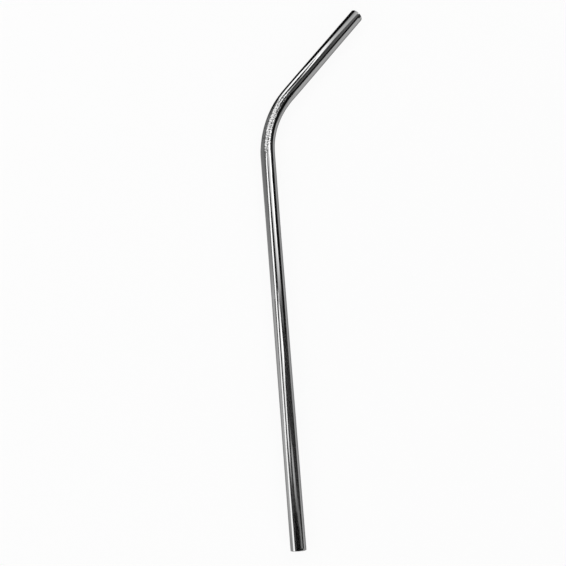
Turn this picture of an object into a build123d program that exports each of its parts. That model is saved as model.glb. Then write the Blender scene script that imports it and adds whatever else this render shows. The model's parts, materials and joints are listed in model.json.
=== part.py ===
"""A bent stainless steel drinking straw: one drawn tube with a long leg, one bend and a short mouth end.

The straw lies flat, as it comes to rest on a table. The floor is the plane z = 0, the leg runs along Y
and the bend turns the mouth end towards +X. The origin is below the middle of the straw's box.
"""
import os
from math import pi, sin

from build123d import *

# Driving dimensions, in millimetres and degrees
OUTER_DIAMETER = 6.0
WALL = 0.5
LEG_LENGTH = 159.0
MOUTH_LENGTH = 51.0
BEND_RADIUS = 42.5
BEND_ANGLE = 42.0
BEND_SQUEEZE = 0.12
LIP_RADIUS = 0.2

# Sections along the bend that carry the squeezed shape
BEND_SECTIONS = 9

outer_radius = OUTER_DIAMETER / 2
bore_radius = outer_radius - WALL

# The centreline of the bend: it leaves the leg along +Y and turns to the right, towards +X
bend_line = JernArc(start=(0, LEG_LENGTH), tangent=(0, 1), radius=BEND_RADIUS, arc_size=-BEND_ANGLE)


def straight_tube(length):
    """A straight stretch of tube along +Z, with both edges of its far end rounded to a smooth lip."""
    tube = extrude(Circle(outer_radius) - Circle(bore_radius), length)
    far_end = tube.faces().sort_by(Axis.Z)[-1]
    return fillet(far_end.edges(), LIP_RADIUS)


def bend_section(share, radius):
    """The tube's section part way round the bend: its full height, and squeezed in the bend's own plane.

    The squeeze grows smoothly from nothing at each end of the bend to BEND_SQUEEZE at its middle.
    """
    squeeze = BEND_SQUEEZE * sin(pi * share) ** 2
    across = Plane(origin=bend_line @ share, x_dir=(0, 0, 1), z_dir=bend_line % share)
    return across * Ellipse(radius, radius - squeeze)


def bent_rod(radius):
    """A solid rod round the bend, squeezed as the tube is."""
    sections = [bend_section(i / (BEND_SECTIONS - 1), radius) for i in range(BEND_SECTIONS)]
    return sweep(sections, path=bend_line, multisection=True)


def straw():
    """The whole tube: leg, bend and mouth end in one piece."""
    leg = Plane(origin=bend_line @ 0, z_dir=-(bend_line % 0)) * straight_tube(LEG_LENGTH)
    bend = bent_rod(outer_radius) - bent_rod(bore_radius)
    mouth = Plane(origin=bend_line @ 1, z_dir=bend_line % 1) * straight_tube(MOUTH_LENGTH)
    return leg + bend + mouth


def set_on_floor(shape):
    """The shape moved so that the bottom centre of its box is at the origin."""
    box = shape.bounding_box()
    return Pos(-box.center().X, -box.center().Y, -box.min.Z) * shape


os.makedirs("parts", exist_ok=True)
export_step(set_on_floor(straw()), "parts/straw_tube.step")
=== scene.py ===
"""A bent stainless steel drinking straw lying on a white studio table, seen from above.

The straw is one drawn tube: a straight leg, one bend and a straight mouth end. Its places and sizes come
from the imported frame, in metres. Lengths along the straw are measured on its centreline from the foot.
"""
import json
from math import acos, asin, atan2, cos, pi, radians, sin

import bpy
from mathutils import Matrix, Vector, noise


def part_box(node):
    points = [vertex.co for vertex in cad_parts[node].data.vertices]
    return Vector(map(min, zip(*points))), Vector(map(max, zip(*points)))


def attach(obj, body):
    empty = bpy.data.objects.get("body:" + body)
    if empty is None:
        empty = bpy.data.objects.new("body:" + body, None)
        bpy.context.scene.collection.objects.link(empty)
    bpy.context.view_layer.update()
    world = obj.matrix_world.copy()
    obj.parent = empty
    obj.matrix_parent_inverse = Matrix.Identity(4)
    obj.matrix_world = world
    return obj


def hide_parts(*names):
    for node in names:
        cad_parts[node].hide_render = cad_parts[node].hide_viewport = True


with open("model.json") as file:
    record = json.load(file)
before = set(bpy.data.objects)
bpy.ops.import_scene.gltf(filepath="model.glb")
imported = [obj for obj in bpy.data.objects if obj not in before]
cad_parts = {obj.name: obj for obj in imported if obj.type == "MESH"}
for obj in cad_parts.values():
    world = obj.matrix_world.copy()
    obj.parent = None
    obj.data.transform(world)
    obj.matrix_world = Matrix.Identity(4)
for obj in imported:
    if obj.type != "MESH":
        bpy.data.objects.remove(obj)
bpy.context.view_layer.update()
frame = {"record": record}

MM = 0.001

# The tube's rings and the points round each of them. The rings are closest round the bend and just past it.
POINTS_ROUND = 128
WALL_STEP = 1.0 * MM
BEND_STEP = 0.16 * MM
BEND_MARGIN = 2 * MM
BORE_STEP = 4.0 * MM
LIP_STEPS = 6

# The squeeze round the bend, and the swell before and after it. The swell grows and sinks over stretches
# that are measured from the bend's start for the one before it, and from its end for the one after it.
SQUEEZE = 0.12 * MM
SWELL = 0.12 * MM
SWELL_GROWS = (-40 * MM, 0.0)
SWELL_SINKS = (7 * MM, 1 * MM)
SWELL_AFTER_SHARE = 0.4
SWELL_AFTER_GROWS = (-2 * MM, 6 * MM)
SWELL_AFTER_SINKS = (35 * MM, 12 * MM)

# The worked skin: the stretches over which it comes at the bend's start and goes at its end, and the
# range from the inside of the bend over which it comes round the tube
SKIN_COMES = (-4 * MM, 8 * MM)
SKIN_GOES = (3 * MM, -6 * MM)
SKIN_ROUND = (0.6, 0.25)

# The fine shape of the surface: ripples and peel on the worked skin, and faint waves on the drawn tube.
# Noise rises and falls about once in two units, and the shifts keep the ripples and the peel apart.
NOISE_PITCH = 2
RIPPLE_HEIGHT = 0.014 * MM
RIPPLE_PITCH = 1.1 * MM
RIPPLE_ROUND = 1.3
RIPPLE_SHIFT = 7
PEEL_HEIGHT = 0.025 * MM
PEEL_PITCH = 0.5 * MM
PEEL_SHIFT = 31
WAVE_HEIGHT = 0.012 * MM
WAVE_PITCH = 9.0 * MM
WAVE_ROUND = 0.9

# The finish of the steel, with its drawn lines and the flecks of the worked skin. The flecks are bumps, and
# their darker grey is painted shade that stands in for the skin's dark glints.
STEEL_GREY = 0.36
STEEL_EDGE_TINT = 0.3
LINE_STRETCH = (0.04, 4.0, 4.0)
LINE_SCALE = 1.0
LINE_DETAIL = 3.0
LINE_RANGE = (0.3, 0.7)
LINE_ROUGHNESS = (0.04, 0.1)
LINE_BUMP = 0.15
LINE_DEPTH = 0.02 * MM
# The fleck grey and its range are painted shade: darker steel in specks on the bend, in place of dark glints.
FLECK_PAINTED_SHADE_GREY = 0.17
FLECK_SCALE = 1.7
FLECK_DETAIL = 1.0
FLECK_PAINTED_SHADE_RANGE = (0.44, 0.62)
FLECK_BUMP = 0.6
FLECK_DEPTH = 0.05 * MM

# The camera, which looks down on the straw with the leg upright in the picture
CAMERA_PLACE = Vector((-39.93, -74.40, 279.65)) * MM
CAMERA_AIM = Vector((-19.73, -9.60, 0.0)) * MM
CAMERA_ROLL = radians(13.24)
CAMERA_LENS = 44.225
CAMERA_SENSOR = 36.0
CAMERA_NEAR = 10 * MM

# The studio: the ceiling's lights hang level at one height, and small panels close over the straw at another.
# Where two sheets of the ceiling cross, one hangs a little higher.
LIGHT_HEIGHT = 0.5
NEAR_HEIGHT = 60 * MM
SHEET_GAP = 2 * MM
TABLE_REACH = 6
TABLE_PAINT = 0.9
TABLE_WHITE_SHARE = 0.92
KEY_SIZE = (3.2, 2.4)
KEY_LEVEL = 1.4
KEY_PLACE = (0.0, -1.15, 0.95)
WORLD_LIGHT = 0.9
WORLD_WHITE = 1.0


def mount(name):
    """One of the straw's mounts: its middle, its axis, its length and its radius, in metres."""
    found = next(m for m in frame["record"]["mounts"] if m["name"] == name)
    sizes = found["dims"]
    return Vector(found["pos_m"]), Vector(found["axis"]), sizes["length_mm"] * MM, sizes["r_mm"] * MM


class Centreline:
    """The middle of the tube: straight up the leg, round the bend and out along the mouth end."""

    def __init__(self):
        """Reads the straw's lengths and places from its mounts and its box."""
        leg_middle, leg_down, leg_length, self.outer = mount("leg_outside")
        mouth_middle, mouth_way, mouth_length, _ = mount("mouth_outside")
        _, _, _, self.bore = mount("leg_bore")
        self.leg_way = -leg_down
        low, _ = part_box("straw_tube")
        wall_foot = leg_middle - self.leg_way * leg_length / 2
        self.lip = wall_foot.y - low.y
        self.foot = wall_foot - self.leg_way * self.lip
        self.bend_foot = leg_middle + self.leg_way * leg_length / 2
        bend_head = mouth_middle - mouth_way * mouth_length / 2
        self.turn = acos(self.leg_way.dot(mouth_way))
        self.radius = (bend_head - self.bend_foot).length / (2 * sin(self.turn / 2))
        self.side = self.leg_way.cross(Vector((0, 0, 1)))
        self.bend_start = leg_length + self.lip
        self.bend_end = self.bend_start + self.radius * self.turn
        self.length = self.bend_end + mouth_length + self.lip

    def at(self, s):
        """The centreline's point at a length s from the foot, and the level way across the tube there."""
        if s <= self.bend_start:
            return self.foot + self.leg_way * s, self.side
        angle = min((s - self.bend_start) / self.radius, self.turn)
        way = self.leg_way * cos(angle) + self.side * sin(angle)
        across = self.side * cos(angle) - self.leg_way * sin(angle)
        centre = self.bend_foot + self.side * self.radius
        point = centre - across * self.radius
        if s > self.bend_end:
            point = point + way * (s - self.bend_end)
        return point, across

    def bend_share(self, s):
        """How far round the bend a length s is, from 0 at its start to 1 at its end."""
        return min(max((s - self.bend_start) / (self.bend_end - self.bend_start), 0.0), 1.0)


line = Centreline()


def smooth(low, high, value):
    """A smooth step from 0 at low to 1 at high."""
    share = min(max((value - low) / (high - low), 0.0), 1.0)
    return share * share * (3 - 2 * share)


def stretch_step(place, stretch, s):
    """A smooth step along the straw, over a stretch that is measured from a place on it."""
    return smooth(place + stretch[0], place + stretch[1], s)


def worked(s, angle):
    """1 on the worked skin of the bend and 0 on the plain tube.

    The skin on the inside of the bend stays plain.
    """
    start = stretch_step(line.bend_start, SKIN_COMES, s)
    end = stretch_step(line.bend_end, SKIN_GOES, s)
    return start * end * smooth(*SKIN_ROUND, cos(angle))


def swell(s):
    """How far each side of the tube swells just before the bend, and less far just after it."""
    before = stretch_step(line.bend_start, SWELL_GROWS, s)
    into = stretch_step(line.bend_start, SWELL_SINKS, s)
    out = stretch_step(line.bend_end, SWELL_AFTER_GROWS, s)
    after = stretch_step(line.bend_end, SWELL_AFTER_SINKS, s)
    return SWELL * (before * into + SWELL_AFTER_SHARE * out * after)


def surface_height(s, angle):
    """How far the outer wall stands out from the smooth tube: bend ripples, peel and faint drawn waves."""
    round_x, round_y = cos(angle), sin(angle)
    wave_place = Vector((NOISE_PITCH * s / WAVE_PITCH, WAVE_ROUND * round_x, WAVE_ROUND * round_y))
    wave = WAVE_HEIGHT * noise.noise(wave_place)
    bend = worked(s, angle)
    if not bend:
        return wave
    ripple_place = Vector((
        NOISE_PITCH * s / RIPPLE_PITCH, RIPPLE_ROUND * round_x + RIPPLE_SHIFT, RIPPLE_ROUND * round_y,
    ))
    ripple = noise.noise(ripple_place)
    across = line.outer / PEEL_PITCH
    peel = noise.noise(Vector((s / PEEL_PITCH + PEEL_SHIFT, across * round_x, across * round_y)))
    return wave + bend * (RIPPLE_HEIGHT * ripple + PEEL_HEIGHT * peel)


def round_angles():
    """The angles of a ring's points round the tube, from the inside of the bend up over the top."""
    return [2 * pi * i / POINTS_ROUND for i in range(POINTS_ROUND)]


def steps(start, end, step):
    """Evenly spaced lengths from start up to, and not with, end."""
    count = max(1, round(abs(end - start) / step))
    return [start + (end - start) * i / count for i in range(count)]


def lip_curve(radius, inward):
    """The quarter round of a lip, from the wall to the tube's end, in pairs of depth and radius."""
    turns = [pi / 2 * i / LIP_STEPS for i in range(LIP_STEPS + 1)]
    return [(line.lip * (1 - sin(a)), radius + inward * line.lip * (1 - cos(a))) for a in turns]


def tube_rings():
    """Every ring of the tube: up the outer wall, over the mouth lip, down the bore and over the foot lip.

    Each ring is its length from the foot, its radius and whether it is on the outer wall.
    """
    close_from = line.bend_start - BEND_MARGIN
    close_to = line.bend_end + BEND_MARGIN
    up = steps(line.lip, close_from, WALL_STEP)
    up += steps(close_from, close_to, BEND_STEP)
    up += steps(close_to, line.length - line.lip, WALL_STEP)
    down = steps(line.length - line.lip, line.lip, BORE_STEP)[1:]
    outer_lip = lip_curve(line.outer, -1)
    bore_lip = lip_curve(line.bore, 1)
    rings = [(s, line.outer, True) for s in up]
    rings += [(line.length - d, r, False) for d, r in outer_lip + bore_lip[::-1]]
    rings += [(s, line.bore, False) for s in down]
    rings += [(d, r, False) for d, r in bore_lip + outer_lip[::-1]]
    return rings[:-1]


def ring_points(s, radius, on_wall):
    """The points of one ring, squeezed in the plane of the bend and lifted by the surface's fine shape."""
    middle, across = line.at(s)
    squeeze = SQUEEZE * sin(pi * line.bend_share(s)) ** 2
    points = []
    for angle in round_angles():
        lift = surface_height(s, angle) if on_wall else 0.0
        level = (radius - squeeze + (swell(s) if on_wall else 0.0) + lift) * cos(angle)
        rise = (radius + lift) * sin(angle)
        points.append(middle + across * level + Vector((0, 0, rise)))
    return points


def unrolled_ring(ring):
    """Numbers for one ring's points on the straightened tube, in millimetres: length, then place round it."""
    s, radius, _ = ring
    return [v / MM for a in round_angles() for v in (s, radius * cos(a), radius * sin(a))]


def store(mesh, name, kind, field, numbers):
    """Keeps a value for every point of the mesh under a name that a finish can read."""
    mesh.attributes.new(name, kind, "POINT").data.foreach_set(field, numbers)


def build_tube():
    """The whole straw as one closed tube mesh, with its unrolled place stored for the finish."""
    rings = tube_rings()
    points = [p for ring in rings for p in ring_points(*ring)]
    faces = []
    for i in range(len(rings)):
        this, after = i * POINTS_ROUND, (i + 1) % len(rings) * POINTS_ROUND
        for j in range(POINTS_ROUND):
            k = (j + 1) % POINTS_ROUND
            faces.append((this + j, after + j, after + k, this + k))
    mesh = bpy.data.meshes.new("straw_tube_polished")
    mesh.from_pydata(points, [], faces)
    mesh.shade_smooth()
    store(mesh, "unrolled", "FLOAT_VECTOR", "vector", [v for ring in rings for v in unrolled_ring(ring)])
    store(mesh, "bend", "FLOAT", "value", [worked(s, a) for s, _, _ in rings for a in round_angles()])
    return bpy.data.objects.new("straw_tube_polished", mesh)


def new_material(name):
    """An empty node material, with its nodes, its links and its output node."""
    material = bpy.data.materials.new(name)
    material.use_nodes = True
    nodes = material.node_tree.nodes
    nodes.clear()
    return material, nodes, material.node_tree.links, nodes.new("ShaderNodeOutputMaterial")


def stored(nodes, name, output):
    """A value that is stored on the mesh under a name."""
    value = nodes.new("ShaderNodeAttribute")
    value.attribute_name = name
    return value.outputs[output]


def remapped(nodes, links, value, before, after):
    """A value moved from one range to another and held within it."""
    move = nodes.new("ShaderNodeMapRange")
    for name, number in zip(("From Min", "From Max", "To Min", "To Max"), (*before, *after)):
        move.inputs[name].default_value = number
    links.new(value, move.inputs["Value"])
    return move.outputs["Result"]


def noise_value(nodes, links, place, scale, detail):
    """Soft noise over the unrolled tube, with a scale in parts of a millimetre."""
    texture = nodes.new("ShaderNodeTexNoise")
    texture.inputs["Scale"].default_value = scale
    texture.inputs["Detail"].default_value = detail
    links.new(place, texture.inputs["Vector"])
    return texture.outputs["Fac"]


def drawn_lines(nodes, links):
    """The fine lines of a drawn tube: noise that is stretched far along it."""
    stretch = nodes.new("ShaderNodeMapping")
    stretch.inputs["Scale"].default_value = LINE_STRETCH
    links.new(stored(nodes, "unrolled", "Vector"), stretch.inputs["Vector"])
    return noise_value(nodes, links, stretch.outputs["Vector"], LINE_SCALE, LINE_DETAIL)


def skin_flecks_and_painted_shade(nodes, links):
    """The small flecks of the worked skin round the bend, and nothing on the plain tube. They bump the
    surface and also darken its grey, which is painted shade.
    """
    spots = noise_value(nodes, links, stored(nodes, "unrolled", "Vector"), FLECK_SCALE, FLECK_DETAIL)
    flecks_and_painted_shade = nodes.new("ShaderNodeMath")
    flecks_and_painted_shade.operation = "MULTIPLY"
    links.new(spots, flecks_and_painted_shade.inputs[0])
    links.new(stored(nodes, "bend", "Fac"), flecks_and_painted_shade.inputs[1])
    return flecks_and_painted_shade.outputs["Value"]


def bumped(nodes, links, height, strength, distance, normal=None):
    """A surface normal that is tilted by a height."""
    bump = nodes.new("ShaderNodeBump")
    bump.inputs["Strength"].default_value = strength
    bump.inputs["Distance"].default_value = distance
    links.new(height, bump.inputs["Height"])
    if normal:
        links.new(normal, bump.inputs["Normal"])
    return bump.outputs["Normal"]


def polished_steel():
    """Bright drawn steel: a mirror finish with fine lines along the tube and a flecked skin on the bend,
    whose flecks are bumped and darkened with painted shade.
    """
    material, nodes, links, output = new_material("polished_steel")
    steel = nodes.new("ShaderNodeBsdfPrincipled")
    steel.inputs["Metallic"].default_value = 1.0
    steel.inputs["Specular Tint"].default_value = (STEEL_EDGE_TINT, STEEL_EDGE_TINT, STEEL_EDGE_TINT, 1)
    lines = drawn_lines(nodes, links)
    flecks_and_painted_shade = skin_flecks_and_painted_shade(nodes, links)
    # Painted shade: the steel's grey goes darker on the flecks of the bend, in place of the dark glints of
    # the rough skin.
    steel_colour_with_painted_shade = remapped(nodes, links, flecks_and_painted_shade, FLECK_PAINTED_SHADE_RANGE, (STEEL_GREY, FLECK_PAINTED_SHADE_GREY))
    links.new(steel_colour_with_painted_shade, steel.inputs["Base Color"])
    roughness = remapped(nodes, links, lines, LINE_RANGE, LINE_ROUGHNESS)
    links.new(roughness, steel.inputs["Roughness"])
    drawn = bumped(nodes, links, lines, LINE_BUMP, LINE_DEPTH)
    flecked = bumped(nodes, links, flecks_and_painted_shade, FLECK_BUMP, FLECK_DEPTH, drawn)
    links.new(flecked, steel.inputs["Normal"])
    links.new(steel.outputs["BSDF"], output.inputs["Surface"])
    return material


def background_ray(nodes, links):
    """1 for a ray that comes straight from the camera or by way of a mirror or glass, and 0 otherwise."""
    path = nodes.new("ShaderNodeLightPath")
    seen = path.outputs["Is Camera Ray"]
    for kind in ("Is Glossy Ray", "Is Transmission Ray"):
        both = nodes.new("ShaderNodeMath")
        both.operation = "MAXIMUM"
        links.new(seen, both.inputs[0])
        links.new(path.outputs[kind], both.inputs[1])
        seen = both.outputs["Value"]
    return seen


def white_floor():
    """The white table top, which looks plain white and still takes the straw's soft shadow."""
    material, nodes, links, output = new_material("white_table")
    paint = nodes.new("ShaderNodeBsdfDiffuse")
    paint.inputs["Color"].default_value = (TABLE_PAINT, TABLE_PAINT, TABLE_PAINT, 1)
    white = nodes.new("ShaderNodeEmission")
    white.inputs["Strength"].default_value = 1.0
    share = nodes.new("ShaderNodeMath")
    share.operation = "MULTIPLY"
    share.inputs[1].default_value = TABLE_WHITE_SHARE
    links.new(background_ray(nodes, links), share.inputs[0])
    mix = nodes.new("ShaderNodeMixShader")
    links.new(share.outputs["Value"], mix.inputs["Fac"])
    links.new(paint.outputs["BSDF"], mix.inputs[1])
    links.new(white.outputs["Emission"], mix.inputs[2])
    links.new(mix.outputs["Shader"], output.inputs["Surface"])
    return material


def card_paint(name, level):
    """Plain matt paint for a studio card, from black at 0 to white at 1."""
    material, nodes, links, output = new_material(name)
    paint = nodes.new("ShaderNodeBsdfDiffuse")
    paint.inputs["Color"].default_value = (level, level, level, 1)
    links.new(paint.outputs["BSDF"], output.inputs["Surface"])
    return material


def glow(brightness):
    """The even face of a soft light, of a given brightness as a mirror shows it."""
    material, nodes, links, output = new_material("light_face")
    face = nodes.new("ShaderNodeEmission")
    face.inputs["Strength"].default_value = brightness
    links.new(face.outputs["Emission"], output.inputs["Surface"])
    return material


def sheet(name, corners, material, hidden=True):
    """A flat stage sheet through its corners, which the camera itself may not see."""
    mesh = bpy.data.meshes.new(name)
    mesh.from_pydata(corners, [], [range(len(corners))])
    mesh.materials.append(material)
    card = bpy.data.objects.new(name, mesh)
    card.visible_camera = not hidden
    bpy.context.scene.collection.objects.link(card)


def overhead(name, outline, material, height=LIGHT_HEIGHT):
    """A level sheet over the straw."""
    sheet(name, [(x, y, height) for x, y in outline], material)


def upright(name, start, end, tall, material):
    """A sheet that stands on the table from one point to another."""
    sheet(name, [(*start, 0.0), (*end, 0.0), (*end, tall), (*start, tall)], material)


def graded_light():
    """The face of a bright or dark panel whose brightness, as a mirror shows it, is stored along it."""
    material, nodes, links, output = new_material("graded_light_face")
    face = nodes.new("ShaderNodeEmission")
    links.new(stored(nodes, "brightness", "Fac"), face.inputs["Strength"])
    links.new(face.outputs["Emission"], output.inputs["Surface"])
    return material


def strip(name, rows, material):
    """A long panel that only the straw's mirror finish shows.

    Each row is a point on either edge of the panel and the brightness at each of the two.
    """
    points = [point for first, second, _, _ in rows for point in (first, second)]
    mesh = bpy.data.meshes.new(name)
    mesh.from_pydata(points, [], [(i, i + 1, i + 3, i + 2) for i in range(0, len(points) - 2, 2)])
    store(mesh, "brightness", "FLOAT", "value", [level for _, _, *levels in rows for level in levels])
    mesh.materials.append(material)
    panel = bpy.data.objects.new(name, mesh)
    panel.visible_camera = False
    panel.visible_shadow = False
    panel.visible_diffuse = False
    bpy.context.scene.collection.objects.link(panel)


def mirrored(s, across_share, height):
    """The point of a level sheet that the camera sees mirrored in the straw.

    The place on the straw is a length s along it and a share across it, from -1 at the left to 1 at the
    right.
    """
    middle, across = line.at(s)
    to_camera = CAMERA_PLACE - middle
    angle = asin(across_share) + atan2(to_camera.dot(across), to_camera.z)
    normal = across * sin(angle) + Vector((0, 0, cos(angle)))
    point = middle + normal * line.outer
    ray = (point - CAMERA_PLACE).reflect(normal)
    return point + ray * ((height - point.z) / ray.z)


def stripe(name, rows, material, height=LIGHT_HEIGHT):
    """A level panel that makes a bright or dark stripe along the straw.

    Each row is a length along the straw in millimetres, the stripe's left and right edges across it there,
    and the brightness at those two edges.
    """
    stations = []
    for s, left, right, *levels in rows:
        stations.append((mirrored(s * MM, left, height), mirrored(s * MM, right, height), *levels))
    strip(name, stations, material)


def side_card(name, rows, material):
    """A low card that stands on the table and follows the straw along one side.

    Each row is a length along the straw, the card's distance to the right of the centreline, the heights of
    its two edges, all in millimetres, and its brightness.
    """
    stations = []
    for s, away, low, high, level in rows:
        middle, across = line.at(s * MM)
        place = middle + across * away * MM
        stations.append(((place.x, place.y, low * MM), (place.x, place.y, high * MM), level, level))
    strip(name, stations, material)


def ceiling_lights():
    """The soft lights that hang level over the left and the far end of the straw."""
    overhead("left_panel", [
        (-3.2, -0.85), (-0.72, -0.27), (-0.82, -0.13), (-0.84, -0.09), (-0.75, -0.06), (-0.66, -0.04),
        (-0.61, -0.01), (-0.57, 0.05), (-1.1, 0.12), (-1.9, 0.03), (-3.2, -0.1),
    ], glow(2.6))
    overhead("left_far_panel", [
        (-0.57, 0.05), (-0.415, 0.12), (-0.24, 0.25), (-0.14, 0.28), (-0.38, 0.305), (-0.56, 0.277),
        (-0.7, 0.268), (-0.74, 0.25), (-0.76, 0.17), (-0.92, 0.14), (-1.1, 0.12),
    ], glow(3.1))
    overhead("left_fill", [
        (-0.5, 0.4), (-0.77, 0.28), (-0.79, 0.18), (-1.15, 0.15), (-1.9, 0.08), (-3.2, -0.05), (-3.2, 2.4),
        (-1.0, 1.5), (-0.78, 0.96), (-0.62, 0.7),
    ], glow(0.32))
    overhead("bend_panel", [
        (-0.5, 0.38), (-0.17, 0.3), (0.08, 0.28), (0.08, 0.35), (-0.07, 0.55), (-0.17, 0.64), (-0.6, 0.7),
    ], glow(2.6))
    overhead("bend_fill", [
        (-0.62, 0.7), (-0.78, 0.84), (-1.1, 1.12), (-1.75, 1.7), (-1.3, 1.7), (-0.8, 1.11), (-0.58, 0.84),
        (-0.5, 0.7),
    ], glow(0.8), LIGHT_HEIGHT - SHEET_GAP)
    overhead("inner_panel", [
        (0.08, 0.35), (0.08, 0.28), (0.13, 0.255), (0.2, 0.23), (0.3, 0.205), (0.37, 0.205), (0.48, 0.23),
        (0.58, 0.28), (0.55, 0.32), (0.5, 0.355), (0.44, 0.39), (0.3, 0.4),
    ], glow(3.6))
    overhead("inner_fill", [
        (0.16, 0.24), (0.2, 0.23), (0.3, 0.205), (0.37, 0.205), (0.45, 0.19), (0.45, 0.12), (0.3, 0.15),
        (0.2, 0.19),
    ], glow(0.7))
    overhead("far_panel", [
        (0.35, 0.5), (0.6, 0.48), (0.95, 0.64), (2.8, 1.35), (2.8, 2.3), (1.0, 1.1), (0.35, 0.75),
    ], glow(2.0))


def leg_stripes(light):
    """The panels over the lower leg, each named for the stripe that it makes."""
    stripe("foot_stripe", [
        (-4, 0.43, 0.56, 0.6, 0.6), (4, 0.39, 0.53, 0.55, 0.55), (10, 0.31, 0.5, 0.4, 0.45),
        (14, 0.2, 0.48, 0.4, 0.4), (18, 0.08, 0.4, 0.55, 0.3), (22, 0.07, 0.32, 0.95, 0.5),
        (28, 0.07, 0.28, 1.2, 0.8), (36, 0.05, 0.25, 0.9, 0.8), (44, 0.06, 0.18, 0.4, 0.3),
        (50, 0.06, 0.1, 0.05, 0.05),
    ], light)
    stripe("leg_stripe", [
        (22, -0.28, -0.14, 0.15, 0.15), (30, -0.29, -0.13, 0.6, 0.6), (36, -0.28, -0.14, 2.0, 2.0),
        (44, -0.28, -0.12, 2.4, 2.4), (52, -0.25, -0.1, 1.8, 2.8), (60, -0.22, -0.05, 1.8, 3.0),
        (68, -0.21, 0.02, 1.7, 3.1), (76, -0.19, 0.08, 1.9, 3.8), (84, -0.16, 0.04, 1.9, 3.6),
        (90, -0.14, 0.05, 1.7, 3.2), (95, -0.13, 0.05, 1.4, 2.8), (98, -0.1, 0.03, 0.5, 0.8),
        (101, -0.1, 0.02, 0.1, 0.25),
    ], light)


def shoulder_stripes(light):
    """The panels close over the upper leg, up to the bend. The shade and the gap are dark."""
    stripe("shoulder_stripe_left", [
        (92, 0.07, 0.18, 0.2, 0.25), (95, 0.07, 0.18, 0.35, 0.3), (98, 0.04, 0.18, 0.8, 0.7),
        (104, 0.02, 0.18, 1.1, 1.15), (112, 0.02, 0.18, 1.3, 1.6), (124, 0.02, 0.18, 1.5, 2.1),
        (136, 0.0, 0.18, 1.6, 2.5), (148, -0.04, 0.18, 1.0, 2.1), (160, -0.06, 0.18, 0.9, 1.8),
    ], light, NEAR_HEIGHT)
    stripe("shoulder_stripe_right", [
        (82, 0.2, 0.37, 0.05, 0.05), (88, 0.2, 0.38, 0.35, 0.35), (94, 0.19, 0.38, 0.36, 0.34),
        (98, 0.18, 0.38, 0.7, 0.4), (104, 0.18, 0.37, 1.15, 0.95), (112, 0.18, 0.355, 1.6, 2.2),
        (124, 0.18, 0.335, 2.1, 3.6), (136, 0.18, 0.335, 2.4, 4.5), (148, 0.18, 0.325, 2.1, 4.8),
        (160, 0.18, 0.35, 1.8, 4.8),
    ], light, NEAR_HEIGHT)
    stripe("shoulder_shade", [
        (84, 0.42, 0.57, 0.03, 0.03), (96, 0.41, 0.57, 0.02, 0.02), (112, 0.375, 0.57, 0.01, 0.01),
        (124, 0.35, 0.57, 0.01, 0.01), (136, 0.35, 0.58, 0.01, 0.01), (148, 0.34, 0.58, 0.01, 0.01),
        (160, 0.37, 0.57, 0.01, 0.01),
    ], light, NEAR_HEIGHT)
    stripe("shoulder_gap", [
        (100, -0.14, -0.03, 0.06, 0.06), (108, -0.16, -0.02, 0.03, 0.03), (120, -0.19, -0.02, 0.03, 0.03),
        (126, -0.2, -0.01, 0.03, 0.03), (132, -0.2, -0.01, 0.03, 0.03), (138, -0.17, -0.03, 0.1, 0.1),
        (144, -0.14, -0.06, 0.2, 0.2),
    ], light, NEAR_HEIGHT)


def mouth_stripes(light):
    """The panels close over the mouth end. The gap, the shade and the line are dark."""
    stripe("mouth_stripe", [
        (180, -0.65, -0.45, 2.2, 2.2), (187, -0.69, -0.52, 2.9, 2.9), (200, -0.72, -0.53, 3.2, 3.2),
        (209, -0.7, -0.49, 2.5, 2.5), (213, -0.66, -0.24, 2.6, 2.6), (218, -0.63, -0.24, 1.8, 1.8),
        (224, -0.6, -0.23, 1.1, 1.2), (232, -0.57, -0.15, 0.7, 1.1), (247, -0.57, 0.0, 0.6, 1.3),
    ], light, NEAR_HEIGHT)
    stripe("mouth_ring", [
        (180, -0.3, -0.1, 2.2, 2.2), (184, -0.3, -0.14, 3.2, 3.2), (188, -0.31, -0.18, 3.4, 3.4),
        (192, -0.31, -0.2, 1.3, 1.3), (198, -0.31, -0.2, 0.8, 0.8), (204, -0.32, -0.2, 2.9, 2.9),
        (213, -0.42, -0.24, 3.4, 3.4),
    ], light, NEAR_HEIGHT)
    stripe("mouth_gap", [
        (182, -0.42, -0.34, 1.0, 1.0), (187, -0.5, -0.33, 0.08, 0.08), (194, -0.51, -0.33, 0.03, 0.03),
        (200, -0.51, -0.34, 0.03, 0.03), (206, -0.49, -0.38, 0.6, 0.6),
    ], light, NEAR_HEIGHT)
    stripe("mouth_shade", [
        (182, -0.12, 0.1, 0.35, 0.35), (184, -0.14, 0.13, 0.15, 0.25), (188, -0.18, 0.17, 0.03, 0.24),
        (192, -0.2, 0.19, 0.02, 0.25), (198, -0.2, 0.19, 0.02, 0.25), (204, -0.2, 0.19, 0.02, 0.22),
        (213, -0.24, 0.19, 0.06, 0.2), (218, -0.24, 0.19, 0.12, 0.18), (224, -0.23, 0.2, 0.18, 0.25),
        (232, -0.15, 0.2, 0.26, 0.25), (247, 0.0, 0.2, 0.4, 0.25),
    ], light, NEAR_HEIGHT)
    stripe("mouth_line", [
        (213, 0.2, 0.4, 0.05, 0.02), (224, 0.2, 0.39, 0.01, 0.01), (232, 0.2, 0.38, 0.01, 0.01),
        (247, 0.2, 0.37, 0.08, 0.08),
    ], light, NEAR_HEIGHT)


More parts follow.
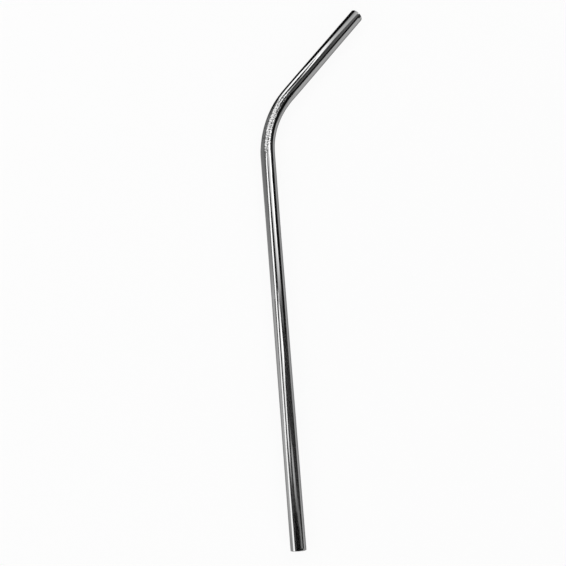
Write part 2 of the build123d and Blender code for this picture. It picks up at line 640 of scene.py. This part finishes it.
def dark_cards():
    """The dim ceiling, and the black cards that draw the dark lines along the straw."""
    grey = card_paint("grey_card", 0.1)
    black = card_paint("black_card", 0.02)
    above = LIGHT_HEIGHT + SHEET_GAP
    below = LIGHT_HEIGHT - SHEET_GAP
    overhead("ceiling", [
        (-3.2, -0.5), (3.0, -0.5), (3.0, 1.3), (0.85, 0.55), (0.3, 0.5), (0.05, 0.7), (-0.8, 3.0),
        (-3.2, 3.0),
    ], grey, above)
    overhead("bar", [
        (-0.04, 0.36), (0.06, 0.345), (0.05, 0.41), (-0.02, 0.52), (-0.09, 0.63), (-0.17, 0.66), (-0.15, 0.5),
        (-0.1, 0.42),
    ], black, below)
    overhead("right_flag", [
        (0.6, 0.1), (2.8, 0.3), (2.8, 1.2), (0.85, 0.5), (0.55, 0.3),
    ], black, below)
    overhead("camera_flag", [
        (-0.28, -0.26), (0.33, -0.26), (0.25, -0.19), (0.08, -0.15), (-0.25, -0.15),
    ], black, below)
    upright("right_wall", (3.0, -2.0), (3.0, 1.4), LIGHT_HEIGHT, black)


def side_lights():
    """The low lights that stand far to the right of the straw."""
    upright("right_panel", (1.5, -0.6), (1.5, 0.8), 0.2, glow(0.2))
    upright("right_fill", (1.52, 0.0), (1.52, 0.25), 0.3, glow(0.5))


def side_cards(light):
    """The bright and dark cards that stand close along both sides of the straw."""
    side_card("left_card", [
        (98, -9, 0, 8, 1.0), (108, -9, 0, 8, 0.75), (120, -9, 0, 8, 0.58), (150, -9, 0, 8, 0.46),
        (162, -9, 0, 8, 0.44), (172, -8, 0, 8, 0.5), (177, -7, 0, 7.5, 0.5), (184, -6, 0, 5.9, 0.03),
        (190, -5.5, 0, 5.4, 0.01), (198, -5.5, 0, 6.0, 0.01), (214, -5.5, 0, 7.9, 0.01),
        (247, -5.5, 0, 8.6, 0.01),
    ], light)
    side_card("foot_card", [
        (-8, -9, 0, 5, 0.6), (2, -9, 0, 5, 0.66), (9, -9, 0, 4.5, 0.85), (15, -9, 0, 4, 0.96),
    ], light)
    side_card("leg_card", [
        (-8, 6, 0, 4.2, 0.8), (140, 6, 0, 4.2, 0.8), (158, 6, 0, 4.2, 0.85), (170, 6, 0, 4.2, 0.97),
    ], light)
    side_card("shoulder_card", [
        (120, 14, 4, 5, 0.5), (134, 14, 3.5, 6.8, 0.65), (150, 14, 3.5, 7.2, 0.65), (162, 14, 3.5, 6.8, 0.65),
    ], light)
    side_card("right_card", [
        (190, 18, 0, 4, 0.5), (198, 14, 0, 9.8, 0.95), (247, 14, 0, 9.8, 0.95),
    ], light)
    side_card("inner_card", [
        (154, 25, 6, 8, 0.01), (161, 25, 5.5, 22, 0.01), (176, 23, 6, 20, 0.01), (182, 21, 6, 19, 0.01),
        (186, 20, 4.8, 18, 0.01), (189, 20, 5, 18, 0.01), (192, 20, 6, 18, 0.01), (194, 20, 8.6, 18, 0.01),
        (196, 20, 10.1, 17, 0.01), (199, 20, 12.5, 16, 0.01),
    ], light)


def key_light():
    """The main light on the table, a big softbox high behind the camera."""
    lamp = bpy.data.lights.new("key", "AREA")
    lamp.shape = "RECTANGLE"
    lamp.size, lamp.size_y = KEY_SIZE
    lamp.energy = KEY_LEVEL * pi * lamp.size * lamp.size_y
    light = bpy.data.objects.new("key", lamp)
    light.location = KEY_PLACE
    light.rotation_euler = (-light.location).to_track_quat("-Z", "Y").to_euler()
    light.visible_camera = False
    bpy.context.scene.collection.objects.link(light)


def set_world():
    """White round the scene for what is seen, straight or mirrored, and a little less light otherwise."""
    world = bpy.data.worlds.new("studio")
    world.use_nodes = True
    nodes, links = world.node_tree.nodes, world.node_tree.links
    nodes.clear()
    output = nodes.new("ShaderNodeOutputWorld")
    light = nodes.new("ShaderNodeBackground")
    light.inputs["Color"].default_value = (1, 1, 1, 1)
    level = remapped(nodes, links, background_ray(nodes, links), (0, 1), (WORLD_LIGHT, WORLD_WHITE))
    links.new(level, light.inputs["Strength"])
    links.new(light.outputs["Background"], output.inputs["Surface"])
    bpy.context.scene.world = world


def set_camera():
    """The camera high over the straw, turned so that the leg stands upright in the picture."""
    data = bpy.data.cameras.new("camera")
    data.lens = CAMERA_LENS
    data.sensor_width = CAMERA_SENSOR
    data.clip_start = CAMERA_NEAR
    camera = bpy.data.objects.new("camera", data)
    turn = (CAMERA_AIM - CAMERA_PLACE).to_track_quat("-Z", "Y").to_matrix().to_4x4()
    roll = Matrix.Rotation(CAMERA_ROLL, 4, "Z")
    camera.matrix_world = Matrix.Translation(CAMERA_PLACE) @ turn @ roll
    bpy.context.scene.collection.objects.link(camera)
    bpy.context.scene.camera = camera


def lay_table():
    """The wide table top that the straw lies on."""
    far = TABLE_REACH
    corners = [(-far, -far, 0), (far, -far, 0), (far, far, 0), (-far, far, 0)]
    sheet("table", corners, white_floor(), hidden=False)


straw = build_tube()
bpy.context.scene.collection.objects.link(straw)
straw.data.materials.append(polished_steel())
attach(straw, "root")
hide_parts("straw_tube")

panel_light = graded_light()
lay_table()
ceiling_lights()
leg_stripes(panel_light)
shoulder_stripes(panel_light)
mouth_stripes(panel_light)
dark_cards()
side_lights()
side_cards(panel_light)
key_light()
set_world()
set_camera()
bpy.context.scene.view_settings.view_transform = "Standard"
